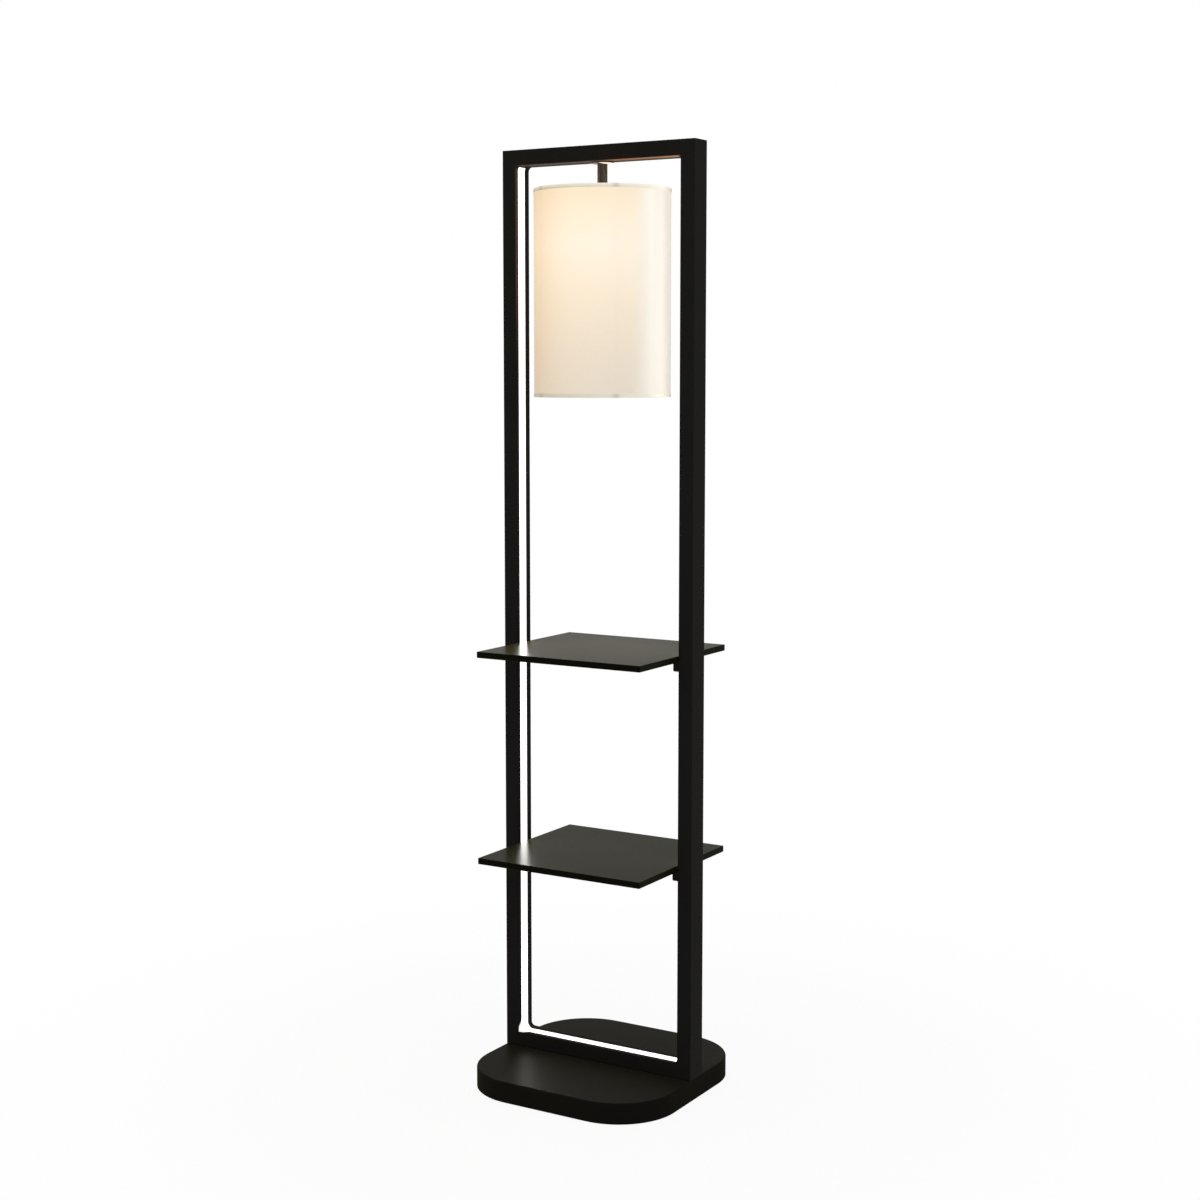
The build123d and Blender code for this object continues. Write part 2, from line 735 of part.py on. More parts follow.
# Bulb: it hangs cap upwards in the lampholder
insulator_top = bulb_top - bulb_tip_height
bulb_cap_top = insulator_top - bulb_insulator_height
bulb_cap_bottom = bulb_cap_top - bulb_cap_length
neck_bottom = bulb_cap_bottom - bulb_neck_length
globe_centre = neck_bottom - bulb_globe_rise
globe_mouth = (bulb_globe_radius**2 - bulb_globe_rise**2) ** 0.5
bulb_tip = rod(bulb_tip_radius, insulator_top, bulb_top)
bulb_insulator = turned(
    Polyline(
        (0, insulator_top),
        (bulb_tip_radius, insulator_top),
        (bulb_cap_radius - bulb_cap_wall, bulb_cap_top),
        (0, bulb_cap_top),
        close=True,
    )
)
bulb_cap = collar(bulb_cap_radius, bulb_cap_radius - bulb_cap_wall, bulb_cap_bottom, bulb_cap_top)
bulb_housing = turned(
    Polyline(
        (bulb_cap_radius - bulb_cap_wall - bulb_shell, bulb_cap_bottom),
        (bulb_cap_radius, bulb_cap_bottom),
        (globe_mouth, neck_bottom),
        (globe_mouth - bulb_shell, neck_bottom),
        close=True,
    )
)


def globe_piece():
    """The globe: a hollow ball, cut off level where it meets the housing."""
    ball = Pos(0, 0, globe_centre) * (Sphere(bulb_globe_radius) - Sphere(bulb_globe_radius - bulb_shell))
    above = rod(bulb_globe_radius, neck_bottom, globe_centre + 2 * bulb_globe_radius)
    return ball - above


bulb_globe = globe_piece()

pieces = {
    "left_upright": left_upright,
    "right_upright": right_upright,
    "top_rail": top_rail,
    "bottom_rail": bottom_rail,
    "left_diffuser": left_diffuser,
    "right_diffuser": right_diffuser,
    "bottom_diffuser": bottom_diffuser,
    "left_carrier": left_carrier,
    "right_carrier": right_carrier,
    "bottom_carrier": bottom_carrier,
    "led_strip": led_strip,
    "base_shell": base_shell,
    "ballast_plate": ballast_plate,
    "base_cover": base_cover,
    "rubber_feet": rubber_feet,
    "cover_posts": cover_posts,
    "cover_screws": cover_screws,
    "cord_inlet": cord_inlet,
    "led_driver": led_driver,
    "terminal_block": terminal_block,
    "ballast_screws": ballast_screws,
    "frame_bolts": frame_bolts,
    "frame_nuts": frame_nuts,
    "lead_grommets": lead_grommets,
    "lamp_lead": lamp_lead,
    "strip_lead": strip_lead,
    **shelves,
    **cleats,
    "shelf_screws": shelf_screws,
    "hanger_flange": hanger_flange,
    "hanger_tube": hanger_tube,
    "hanger_nipple": hanger_nipple,
    "hanger_washer": hanger_washer,
    "hanger_nut": hanger_nut,
    "holder_cap": holder_cap,
    "holder_body": holder_body,
    "holder_insert": holder_insert,
    "screw_shell": screw_shell,
    "centre_contact": centre_contact,
    "shade_ring": shade_ring,
    "shade_drum": shade_drum,
    "shade_fitter": shade_fitter,
    "shade_bottom_ring": shade_bottom_ring,
    "shade_struts": shade_struts,
    "shade_top_binding": shade_top_binding,
    "shade_bottom_binding": shade_bottom_binding,
    "bulb_globe": bulb_globe,
    "bulb_housing": bulb_housing,
    "bulb_cap": bulb_cap,
    "bulb_insulator": bulb_insulator,
    "bulb_tip": bulb_tip,
}

os.makedirs("parts", exist_ok=True)
for name, piece in pieces.items():
    shape = Compound(children=piece) if isinstance(piece, list) else piece
    export_step(shape, f"parts/{name}.step")
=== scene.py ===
"""Looks of a shelf floor lamp, in metres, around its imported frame.

A black frame with lit channels stands on a weighted base. It carries two shelves, and a fabric drum
shade hangs from its top rail.
"""
import json
import math

import bmesh
import bpy
from bpy.props import FloatProperty, FloatVectorProperty, IntProperty, PointerProperty
from mathutils import Matrix, Vector


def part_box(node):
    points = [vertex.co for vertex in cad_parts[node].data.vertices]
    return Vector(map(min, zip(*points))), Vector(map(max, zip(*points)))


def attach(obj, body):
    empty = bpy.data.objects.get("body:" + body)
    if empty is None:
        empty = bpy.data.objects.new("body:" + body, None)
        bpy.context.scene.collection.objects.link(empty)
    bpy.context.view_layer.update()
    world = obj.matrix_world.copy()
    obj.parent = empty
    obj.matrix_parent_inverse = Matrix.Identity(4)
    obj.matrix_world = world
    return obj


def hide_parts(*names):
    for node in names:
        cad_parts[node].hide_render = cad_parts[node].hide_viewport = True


bl_info = {
    "name": "Shelf floor lamp",
    "version": (1, 0, 0),
    "blender": (4, 5, 0),
    "location": "3D View > Sidebar > Lamp",
    "description": "Dresses the packed lamp with its paint, lights, shade and bulb, on a plain stage",
    "category": "Object",
}

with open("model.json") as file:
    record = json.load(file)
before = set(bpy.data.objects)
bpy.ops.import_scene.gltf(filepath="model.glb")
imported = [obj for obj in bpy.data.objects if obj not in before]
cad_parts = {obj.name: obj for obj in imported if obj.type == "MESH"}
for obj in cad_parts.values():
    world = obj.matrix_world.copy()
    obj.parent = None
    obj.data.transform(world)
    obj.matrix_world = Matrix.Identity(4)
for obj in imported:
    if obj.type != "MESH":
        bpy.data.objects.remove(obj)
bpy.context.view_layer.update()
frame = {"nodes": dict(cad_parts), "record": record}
nodes = frame["nodes"]

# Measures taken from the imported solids, in metres
shade_low, shade_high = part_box("shade_drum")
shade_radius = shade_high.x
shade_bottom = shade_low.z
shade_top = shade_high.z
shade_height = shade_top - shade_bottom
flange_low, flange_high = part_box("hanger_flange")
frame_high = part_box("top_rail")[1]
opening_top = flange_high.z
frame_face = frame_high.z - opening_top
opening_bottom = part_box("base_shell")[1].z + frame_face
opening_side = frame_high.x - frame_face
upper_shelf_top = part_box("upper_shelf")[1].z
cap_low, cap_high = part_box("bulb_cap")
shell_low, shell_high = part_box("screw_shell")
thread_pitch = 2 * math.pi * frame["record"]["behaviour"]["couplings"][0]["ratio"]

# The folded channels that hold the light strips, and the top rail that closes their ring
frame_members = ("left_upright", "right_upright", "top_rail", "bottom_rail")
# The light slots, as in the part's source: their half width, and how far the diffusers' faces lie behind
# the ends that meet in the corners
slot_side = 0.012
slot_depth = 0.0030
# Upright wires of the shade, and the side on which its lap seam runs
strut_count = 5
seam_angle = math.radians(96.0)
# Side of the shade on which the bulb's glow is painted brightest
glow_angle = math.radians(-80.0)
# Side on which the shade's hems are painted brightest
hem_angle = math.radians(-10.0)


# Settings that a user may change


def colour_setting(name, description, default):
    """A colour setting, in linear light."""
    return FloatVectorProperty(
        name=name, description=description, subtype="COLOR", size=3, min=0.0, max=1.0, default=default
    )


def length_setting(name, description, default):
    """A length setting, in metres."""
    return FloatProperty(
        name=name, description=description, unit="LENGTH", min=0.0, default=default, precision=5
    )


def share_setting(name, description, default):
    """A setting from 0 to 1."""
    return FloatProperty(
        name=name, description=description, subtype="FACTOR", min=0.0, max=1.0, default=default
    )


def strength_setting(name, description, default):
    """A strength or power that is 0 or more."""
    return FloatProperty(name=name, description=description, min=0.0, default=default)


def angle_setting(name, description, degrees):
    """An angle setting, with its default given in degrees."""
    return FloatProperty(name=name, description=description, subtype="ANGLE", default=math.radians(degrees))


class LampFrameLooks(bpy.types.PropertyGroup):
    """Paint of the frame and the base, and the shelves' laminate."""

    paint: colour_setting("Paint", "Satin paint of the frame", (0.0110, 0.0106, 0.0095))
    base_paint: colour_setting("Base paint", "Satin paint of the base", (0.0070, 0.0066, 0.0060))
    laminate: colour_setting("Laminate", "Face of the shelves", (0.0088, 0.0084, 0.0062))
    bronze: colour_setting("Bronze", "Paint of the hanger", (0.034, 0.023, 0.016))
    paint_gloss: share_setting("Paint roughness", "Mean roughness of the paint", 0.52)
    base_gloss: share_setting("Base roughness", "Mean roughness of the base's paint", 0.45)
    laminate_gloss: share_setting("Laminate roughness", "Mean roughness of the shelves", 0.30)


class LampLightLooks(bpy.types.PropertyGroup):
    """Colour and strength of what shines."""

    strip: colour_setting("Light strip", "Light of the frame's diffusers", (1.0, 0.985, 0.95))
    strip_strength: strength_setting("Strip strength", "Brightness of the diffusers", 1.3)
    bulb: colour_setting("Bulb", "Light of the bulb's globe", (1.0, 0.80, 0.52))
    bulb_strength: strength_setting("Bulb strength", "Brightness of the globe", 14.0)


class LampShadeLooks(bpy.types.PropertyGroup):
    """The shade's cloth, lining and hems."""

    linen: colour_setting("Linen", "Cloth of the shade, unlit", (0.72, 0.70, 0.65))
    lining: colour_setting("Lining", "Inside of the shade, unlit", (0.80, 0.75, 0.66))
    hem: colour_setting("Hem", "Tape round the shade's edges", (0.66, 0.66, 0.58))
    thread: length_setting("Thread", "Spacing of the cloth's threads", 0.0008)
    skin: length_setting("Skin", "Thickness of cloth and lining", 0.0010)
    overlap: length_setting("Seam overlap", "Width of the lap seam", 0.012)
    seam_step: length_setting("Seam step", "How far the lap stands out", 0.0006)
    rows: IntProperty(name="Rows", description="Rows of faces up the cloth", min=8, default=72)
    steps: IntProperty(name="Steps", description="Faces round the cloth", min=60, default=360)


class LampStageLooks(bpy.types.PropertyGroup):
    """Floor, lights and camera."""

    floor: colour_setting("Floor", "Pale floor", (0.90, 0.90, 0.90))
    sky: strength_setting("Sky", "Strength of the soft light all round", 0.50)
    key_power: strength_setting("Key", "Watts of the soft light on the right", 25.0)
    fill_power: strength_setting("Fill", "Watts of the soft light on the left", 20.0)
    fill: colour_setting("Fill colour", "Warm light from the left", (1.0, 0.80, 0.50))
    strip_power: strength_setting("Strips", "Watts a metre that the strips cast", 0.05)
    shine_power: strength_setting("Shine", "Watts a metre of the strips' reflections", 1.4)
    lens: FloatProperty(name="Lens", description="Focal length on a 36 mm sensor", min=10.0, default=59.406)
    turn: angle_setting("Turn", "Camera's angle round the lamp", 31.109)
    tilt: angle_setting("Tilt", "Camera's angle below the horizon", 5.955)
    place: FloatVectorProperty(
        name="Place",
        description="Camera's place",
        subtype="TRANSLATION",
        size=3,
        default=(1.6165, -2.6860, 1.1537),
    )
    drop: FloatProperty(name="Drop", description="Camera's vertical shift", default=-0.020)


# Materials


class Wire:
    """One output socket in a node tree. Maths on it adds Math nodes."""

    def __init__(self, maker, socket):
        self.maker = maker
        self.socket = socket

    def __add__(self, other):
        return self.maker.maths("ADD", self, other)

    def __radd__(self, other):
        return self.maker.maths("ADD", other, self)

    def __sub__(self, other):
        return self.maker.maths("SUBTRACT", self, other)

    def __rsub__(self, other):
        return self.maker.maths("SUBTRACT", other, self)

    def __mul__(self, other):
        return self.maker.maths("MULTIPLY", self, other)

    def __rmul__(self, other):
        return self.maker.maths("MULTIPLY", other, self)

    def __truediv__(self, other):
        return self.maker.maths("DIVIDE", self, other)

    def __rtruediv__(self, other):
        return self.maker.maths("DIVIDE", other, self)

    def __pow__(self, power):
        return self.maker.maths("POWER", self, power)

    def __abs__(self):
        return self.maker.maths("ABSOLUTE", self)


class NodeMaker:
    """Adds nodes to the tree of a material or a world."""

    def __init__(self, tree):
        self.tree = tree

    def add(self, kind, settings=None, inputs=None, output=0):
        """Adds a node: its settings first, then a value or a wire for each input. Gives back one output."""
        node = self.tree.nodes.new(kind)
        for name, value in (settings or {}).items():
            if name == "stops":
                self.set_stops(node.color_ramp, value)
            else:
                setattr(node, name, value)
        self.plug(node, inputs or {})
        return Wire(self, node.outputs[output])

    def set_stops(self, ramp, stops):
        """Sets a ramp's (place, colour) stops."""
        while len(ramp.elements) < len(stops):
            ramp.elements.new(0.5)
        for element, (place, colour) in zip(ramp.elements, stops):
            element.position = place
            element.color = (*colour, 1.0)

    def plug(self, node, inputs):
        """Gives each named input its value or its wire."""
        for name, value in inputs.items():
            if isinstance(value, Wire):
                self.tree.links.new(value.socket, node.inputs[name])
            elif node.inputs[name].type == "RGBA":
                node.inputs[name].default_value = (*value, 1.0)
            else:
                node.inputs[name].default_value = value

    def maths(self, operation, first, second=0.0):
        """A Math node on two values or wires."""
        return self.add("ShaderNodeMath", {"operation": operation}, {0: first, 1: second})

    def seen_by(self, *kinds):
        """1 for rays of the named kinds, such as Camera or Glossy, and 0 for all others."""
        seen = 0.0
        for kind in kinds:
            seen = self.maths("MAXIMUM", seen, self.add("ShaderNodeLightPath", output=f"Is {kind} Ray"))
        return seen


class Finish(NodeMaker):
    """A procedural material being made."""

    def __init__(self, name):
        self.material = bpy.data.materials.new(name)
        self.material.use_nodes = True
        super().__init__(self.material.node_tree)
        self.shader = self.tree.nodes["Principled BSDF"]

    def surface(self, **inputs):
        """Sets the shader's sockets, where base_color stands for Base Color. Gives back the material."""
        names = {name.lower().replace(" ", "_"): name for name in self.shader.inputs.keys()}
        self.plug(self.shader, {names[key]: value for key, value in inputs.items()})
        return self.material

    def place(self):
        """The point on the surface, in the lamp's own frame."""
        return self.add("ShaderNodeTexCoord", output="Object")

    def axes(self, vector):
        """The x, y and z of a vector."""
        first = self.add("ShaderNodeSeparateXYZ", inputs={0: vector})
        return [Wire(self, socket) for socket in first.socket.node.outputs]

    def upward(self):
        """1 where the surface faces up or down, 0 where it stands upright."""
        return abs(self.axes(self.add("ShaderNodeNewGeometry", output="Normal"))[2])

    def noise(self, at, scale, detail=2.0, roughness=0.5):
        """Noise from 0 to 1 with that many grains a metre."""
        return self.add(
            "ShaderNodeTexNoise",
            inputs={"Vector": at, "Scale": scale, "Detail": detail, "Roughness": roughness},
        )

    def ramp(self, value, start, end, low=0.0, high=1.0):
        """Low at the start value and high at the end value, smooth between them."""
        return self.add(
            "ShaderNodeMapRange",
            {"interpolation_type": "SMOOTHSTEP"},
            {"Value": value, "From Min": start, "From Max": end, "To Min": low, "To Max": high},
        )

    def near(self, value, reach):
        """1 where a value lies within half a reach of 0, and 0 where it lies beyond the reach."""
        return self.ramp(abs(value), reach, reach / 2)

    def gradient(self, value, *stops):
        """A colour along a value from 0 to 1, from (place, colour) stops."""
        return self.add("ShaderNodeValToRGB", {"stops": stops}, {0: value})

    def blend(self, factor, first, second):
        """A colour between two colours."""
        return self.add("ShaderNodeMix", {"data_type": "RGBA"}, {0: factor, 6: first, 7: second}, output=2)

    def lit(self, colour, strength):
        """A colour of light at that strength."""
        return self.add("ShaderNodeVectorMath", {"operation": "SCALE"}, {0: colour, "Scale": strength})

    def together(self, first, second):
        """Two lights added."""
        return self.add("ShaderNodeVectorMath", {"operation": "ADD"}, {0: first, 1: second})

    def times(self, first, second):
        """Two vectors or colours multiplied part by part."""
        return self.add("ShaderNodeVectorMath", {"operation": "MULTIPLY"}, {0: first, 1: second})

    def bump(self, height, depth, strength=1.0, normal=None):
        """A bump of that depth in metres."""
        inputs = {"Height": height, "Distance": depth, "Strength": strength}
        if normal is not None:
            inputs["Normal"] = normal
        return self.add("ShaderNodeBump", inputs=inputs)


def scaled(colour, factor):
    """A colour made lighter or darker."""
    return tuple(min(1.0, part * factor) for part in colour)


def painted_frame_light(finish, at):
    """Light painted on the frame's inner faces: the strips' glare by the lit corner, and the shade's warmth.
    """
    edge = 0.0004
    glare_length = 0.017
    warm_from, warm_full = 1.15, 1.32
    x, y, z = finish.axes(at)
    before_slot = finish.ramp(y, edge - slot_side, -slot_side)

    # Painted glare round the lower left corner of the opening, shorter toward the front
    across = x + opening_side
    up = z - opening_bottom
    from_corner = finish.maths("SQRT", across * across + up * up)
    facing_in = finish.ramp(finish.maths("MINIMUM", across, up), -edge, -edge / 4)
    glare_reach = glare_length + slot_side + y
    glare = finish.ramp(glare_reach - from_corner, -0.002, 0.004) * facing_in * before_slot

    # Painted warm light on the uprights beside the shade, and a painted coppery glow under the top rail,
    # strongest on the right
    side_gap = opening_side - abs(x)
    below_rail = finish.ramp(z, opening_top, opening_top - 0.001)
    warmth = finish.ramp(z, warm_from, warm_full) * below_rail * finish.near(side_gap, edge) * before_slot
    under_rail = finish.near(z - opening_top, edge) * finish.ramp(side_gap, 0.0, 0.001)
    painted_rail_glow = finish.gradient(
        x / (2 * opening_side) + 0.5,
        (0.00, (0.045, 0.026, 0.017)),
        (0.45, (0.075, 0.042, 0.025)),
        (0.58, (0.230, 0.092, 0.036)),
        (0.85, (0.270, 0.118, 0.050)),
        (1.00, (0.330, 0.190, 0.105)),
    )
    above = finish.lit(painted_rail_glow, under_rail * finish.ramp(y, 0.004, -0.004))
    beside = finish.together(finish.lit((1.0, 0.98, 0.94), glare), finish.lit((0.045, 0.027, 0.018), warmth))
    return finish.together(above, beside)


def painted_flange_highlight(finish, at):
    """A painted highlight: the bulb's light on the right half of the hanger flange's underside."""
    x, _, z = finish.axes(at)
    under = finish.near(z - flange_low.z, 0.0006)
    return finish.lit((1.0, 0.94, 0.84), under * finish.ramp(x, 0.002, 0.006))


def painted_shelf_pool(finish, at):
    """A painted pool of the bulb's warm light on top of the upper shelf, under the open shade."""
    pool_radius = 0.2
    x, y, z = finish.axes(at)
    top = finish.near(z - upper_shelf_top, 0.0006)
    under = finish.ramp(x * x + y * y, pool_radius**2, 0.0)
    return finish.lit((0.0160, 0.0118, 0.0055), top * under)


def satin_paint(
    name, colour, roughness, specular, tint=(1.0, 0.97, 0.90), painted_light=None, dulled=0.0, sheen=0.0
):
    """Sprayed paint: a fine peel, clouding in the gloss and faint dust.

    Painted light, where given, paints the light that falls on it as emission. Upright faces are rougher than
    level ones, by dulled. Sheen warms a face that is seen at a slant.
    """
    finish = Finish(name)
    at = finish.place()
    cloud = finish.noise(at, 9.0, 3.0)
    dust = finish.noise(at, 260.0, 1.0)
    peel = finish.noise(at, 850.0, 2.0)
    grit = finish.noise(at, 3200.0, 1.0)
    colours = finish.blend(cloud * 0.6 + dust * 0.4, scaled(colour, 0.82), scaled(colour, 1.18))
    coarse = finish.bump(peel, 0.00006, 0.35)
    # Painted light, where given, goes into the emission
    if painted_light is not None:
        finish.surface(emission_color=painted_light(finish, at), emission_strength=1.0)
    return finish.surface(
        base_color=colours,
        roughness=roughness + (cloud - 0.5) * 0.10 + (grit - 0.5) * 0.08 + (1 - finish.upward()) * dulled,
        specular_ior_level=specular,
        specular_tint=tint,
        sheen_weight=sheen,
        sheen_tint=(1.0, 0.98, 0.40),
        normal=finish.bump(grit, 0.00002, 0.25, coarse),
    )


def shelf_laminate(name, colour, roughness):
    """Pressed laminate: a fine leathery emboss and a slow change of gloss."""
    finish = Finish(name)
    at = finish.place()
    cloud = finish.noise(at, 7.0, 2.0)
    emboss = finish.add(
        "ShaderNodeTexVoronoi",
        {"feature": "SMOOTH_F1"},
        {"Vector": at, "Scale": 900.0, "Smoothness": 0.6},
        output="Distance",
    )
    grain = finish.noise(at, 1900.0, 2.0)
    colours = finish.blend(cloud * 0.5 + grain * 0.5, scaled(colour, 0.85), scaled(colour, 1.15))
    return finish.surface(
        # Upright faces take a darker copy of the colour: painted shade on the shelves' edges
        base_color=finish.blend(finish.upward(), scaled(colour, 0.4), colours),
        roughness=roughness + (cloud - 0.5) * 0.05 + (grain - 0.5) * 0.05,
        specular_ior_level=0.0083,
        specular_tint=(0.90, 0.83, 0.64),
        sheen_weight=0.035,
        sheen_roughness=0.5,
        sheen_tint=(1.0, 0.95, 0.30),
        # A painted pool of the bulb's light on the upper shelf, as emission
        emission_color=painted_shelf_pool(finish, at),
        emission_strength=1.0,
        normal=finish.bump(emboss, 0.00003, 0.12),
    )


def moulding(name, colour, roughness, grain_scale=1400.0, specular=0.5):
    """Moulded plastic or rubber with a fine spark-eroded grain."""
    finish = Finish(name)
    at = finish.place()
    flow = finish.noise(at, 40.0, 2.0)
    grain = finish.noise(at, grain_scale, 2.0)
    return finish.surface(
        base_color=finish.blend(flow, scaled(colour, 0.9), scaled(colour, 1.1)),
        roughness=roughness + (grain - 0.5) * 0.12,
        specular_ior_level=specular,
        normal=finish.bump(grain, 0.00004, 0.25),
    )


def bare_metal(name, colour, roughness, stretch=(1.0, 1.0, 0.06)):
    """Bare or plated metal with fine drawn lines along one axis."""
    finish = Finish(name)
    at = finish.place()
    lines = finish.noise(finish.times(at, stretch), 2600.0, 3.0)
    stain = finish.noise(at, 55.0, 3.0)
    return finish.surface(
        base_color=finish.blend(stain, scaled(colour, 0.86), scaled(colour, 1.06)),
        metallic=1.0,
        roughness=roughness + (lines - 0.5) * 0.16 + (stain - 0.5) * 0.10,
        normal=finish.bump(lines, 0.00001, 0.3),
    )


def cast_metal(name, colour):
    """Rough cast iron, dull and pitted."""
    finish = Finish(name)
    at = finish.place()
    pits = finish.noise(at, 420.0, 4.0, 0.65)
    rust = finish.noise(at, 18.0, 4.0, 0.6)
    return finish.surface(
        base_color=finish.blend(rust, scaled(colour, 0.75), scaled(colour, 1.2)),
        metallic=0.7,
        roughness=0.62 + (pits - 0.5) * 0.2,
        normal=finish.bump(pits, 0.0002, 0.5),
    )


def opal_lit(name, colour, strength):
    """Opal sheet or glass, lit from behind."""
    finish = Finish(name)
    at = finish.place()
    haze = finish.noise(at, 120.0, 2.0)
    return finish.surface(
        base_color=(0.9, 0.9, 0.88),
        roughness=0.45 + (haze - 0.5) * 0.1,
        emission_color=finish.blend(haze, scaled(colour, 0.97), colour),
        emission_strength=strength,
    )


class ShadeCloth(Finish):
    """A finish that knows where the shade's threads, seam and struts run."""

    def __init__(self, name):
        super().__init__(name)
        turned = self.add(
            "ShaderNodeVectorRotate",
            {"rotation_type": "Z_AXIS"},
            {"Vector": self.place(), "Angle": math.pi - seam_angle},
        )
        x, y, z = self.axes(turned)
        self.angle = self.maths("ARCTAN2", y, x)
        self.rise = (z - shade_bottom) / shade_height
        self.height = z
        self.arc = self.angle * shade_radius

    def from_side(self, side):
        """The angle round the shade from one side of the lamp, where 0 is its right."""
        return self.angle - (side + math.pi - seam_angle)

    def strut_shadow(self, sharpness):
        """1 on the line of each upright wire, falling off to its sides."""
        swing = self.maths("COSINE", (self.angle - math.pi) * strut_count)
        return (swing * 0.5 + 0.5) ** sharpness

    def seam_band(self, width):
        """1 on the lap seam, which runs on from the cut at half a turn."""
        return self.maths("GREATER_THAN", self.angle, math.pi - width / shade_radius)

    def weave(self, thread):
        """Height of a plain weave, from 0 to 1."""
        threads = 2 * round(math.pi * shade_radius / thread)
        across = self.angle * (threads / 2)
        up = self.height * (math.pi / thread)
        warp = abs(self.maths("COSINE", across))
        weft = abs(self.maths("COSINE", up))
        over = self.maths("SINE", across) * self.maths("SINE", up)
        top = self.maths("GREATER_THAN", over, 0.0)
        return warp * top + weft * (1 - top)

    def slubs(self):
        """Thick and thin threads, both ways."""
        along = self.add("ShaderNodeCombineXYZ", inputs={0: self.arc * 60.0, 1: self.height * 1100.0})
        upward = self.add("ShaderNodeCombineXYZ", inputs={0: self.arc * 1100.0, 1: self.height * 60.0})
        return self.noise(along, 1.0, 2.0) * 0.5 + self.noise(upward, 1.0, 2.0) * 0.5


def shade_linen(looks):
    """The shade's outside: plain-woven linen, with the bulb's glow behind it painted as emission."""
    finish = ShadeCloth("shade_linen")
    weave = finish.weave(looks.thread)
    slubs = finish.slubs()
    tint = slubs * 0.7 + weave * 0.3
    glow = finish.gradient(
        finish.rise,
        (0.00, (0.245, 0.172, 0.105)),
        (0.20, (0.300, 0.212, 0.120)),
        (0.45, (0.398, 0.292, 0.160)),
        (0.72, (0.500, 0.390, 0.270)),
        (0.88, (0.475, 0.345, 0.192)),
        (1.00, (0.435, 0.288, 0.125)),
    )

    # The painted glow is brightest on one side, no dimmer than a set level on the others, and amber on the
    # left
    least_side = 0.66
    from_glow = finish.from_side(glow_angle)
    side = finish.maths("MAXIMUM", finish.maths("COSINE", from_glow) * 0.5 + 0.5, least_side)
    # Painted shadows of the upright wires and of the doubled cloth at the lap seam dim the glow
    shadow = finish.strut_shadow(140.0) * 0.035 + finish.seam_band(looks.overlap) * 0.22
    light = (1 - shadow) * (0.93 + slubs * 0.14) * (0.50 + side * 0.55)
    amber = finish.times(glow, (1.0, 0.80, 0.50))
    leftward = finish.ramp(finish.maths("SINE", from_glow), -0.1, -0.95)
    glow = finish.lit(finish.blend(leftward, glow, amber), light)

    # Toward the right light strip its white light is painted over the glow, but for a narrow band of painted
    # shade nearest to it
    toward_strip = finish.maths("COSINE", finish.from_side(0.0))
    pale = finish.lit((0.350, 0.312, 0.260), 0.8 + finish.rise * 0.3)
    glow = finish.blend(finish.ramp(toward_strip, 0.82, 0.965), glow, pale)
    glow = finish.blend(finish.ramp(toward_strip, 0.96, 1.0), glow, (0.205, 0.170, 0.150))
    return finish.surface(
        base_color=finish.blend(tint, scaled(looks.linen, 0.93), scaled(looks.linen, 1.06)),
        roughness=0.92 - weave * 0.06,
        specular_ior_level=0.0,
        sheen_weight=0.12,
        emission_color=glow,
        emission_strength=1.0,
        normal=finish.bump(weave * 0.7 + slubs * 0.3, 0.00008, 0.35),
    )


def shade_lining(looks):
    """The shade's inside: smooth white sheet in the bulb's full light, partly painted as an emitted glow."""
    finish = ShadeCloth("shade_lining")
    haze = finish.noise(finish.place(), 30.0, 2.0)
    glow = finish.gradient(
        finish.rise,
        (0.00, (0.36, 0.26, 0.15)),
        (0.45, (0.62, 0.47, 0.28)),
        (0.72, (0.86, 0.68, 0.42)),
        (1.00, (0.60, 0.45, 0.26)),
    )
    return finish.surface(
        base_color=finish.blend(haze, scaled(looks.lining, 0.96), scaled(looks.lining, 1.03)),
        roughness=0.6 + (haze - 0.5) * 0.1,
        specular_ior_level=0.3,
        emission_color=glow,
        emission_strength=0.5,
    )


def hem_tape(looks):
    """Folded tape round the shade's edges, with painted shade where it is pulled over an upright wire and a
    painted glow.
    """
    finish = ShadeCloth("hem_tape")
    weave = finish.weave(looks.thread * 0.8)
    slubs = finish.slubs()
    wire_shade = finish.strut_shadow(60.0)
    cloth = finish.blend(slubs, scaled(looks.hem, 0.92), scaled(looks.hem, 1.08))
    # Painted shade over each upright wire darkens the tape's colour, and its glow below
    colours = finish.blend(wire_shade * 0.25, cloth, scaled(looks.hem, 0.45))
    side = finish.maths("COSINE", finish.from_side(hem_angle)) * 0.5 + 0.5
    # Painted glow: brightest on one side, and along the shade's top rim
    glow = finish.blend(side * side, (0.100, 0.068, 0.030), (0.290, 0.260, 0.215))
    glow = finish.blend(finish.ramp(finish.rise, 0.985, 1.0) * 0.5, glow, (0.55, 0.45, 0.36))
    return finish.surface(
        base_color=colours,
        roughness=0.9 - weave * 0.05,
        specular_ior_level=0.0,
        emission_color=finish.lit(glow, 1 - wire_shade * 0.4),
        emission_strength=1.0,
        normal=finish.bump(weave * 0.7 + slubs * 0.3, 0.00008, 0.4),
    )


# Meshes


def dress(material, *names):
    """Gives CAD nodes a material, in every slot."""
    for name in names:
        mesh = nodes[name].data
        mesh.materials.clear()
        mesh.materials.append(material)


def new_piece(name, mesh, materials, body, replaced):
    """A shown piece that rides on a body and stands for CAD nodes."""
    for material in materials:
        mesh.materials.append(material)
    piece = bpy.data.objects.new(name, mesh)
    bpy.context.scene.collection.objects.link(piece)
    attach(piece, body)
    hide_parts(*replaced)
    return piece


def finished_mesh(name, bm, sharp_angle=40.0):
    """A mesh with smooth faces, and edges sharp where it turns by more than an angle in degrees."""
    bmesh.ops.recalc_face_normals(bm, faces=bm.faces)
    mesh = bpy.data.meshes.new(name)
    bm.to_mesh(mesh)
    bm.free()
    mesh.shade_smooth()
    mesh.set_sharp_from_angle(angle=math.radians(sharp_angle))
    return mesh


